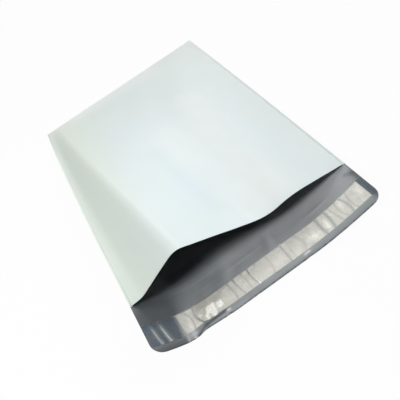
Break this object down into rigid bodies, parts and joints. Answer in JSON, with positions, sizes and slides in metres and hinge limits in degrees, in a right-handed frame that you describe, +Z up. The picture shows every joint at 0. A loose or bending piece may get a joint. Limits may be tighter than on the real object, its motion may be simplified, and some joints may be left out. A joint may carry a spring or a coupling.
{
  "type": "poly mailer bag",
  "caption": "Poly mailer bag lying open on its back: white outside, silver grey inside, ridged front panel, flap with a cream glue band under a clear wrinkled liner.",
  "frame": {"origin": "on the surface that the bag lies on, under the middle of its box", "axes": "+X across the bag, +Y towards the folded end, +Z up out of the back panel; the mouth and the flap are at -Y"},
  "size_m": [0.2502, 0.378, 0.0572],
  "materials": {
    "film": "satin polyethylene film, white outside and silver grey inside",
    "glue": "cream hot-melt glue",
    "liner": "clear glossy film"
  },
  "bodies": {
    "root": {"bag": "film", "adhesive_strip": "glue", "release_liner": "liner"}
  },
  "joints": []
}
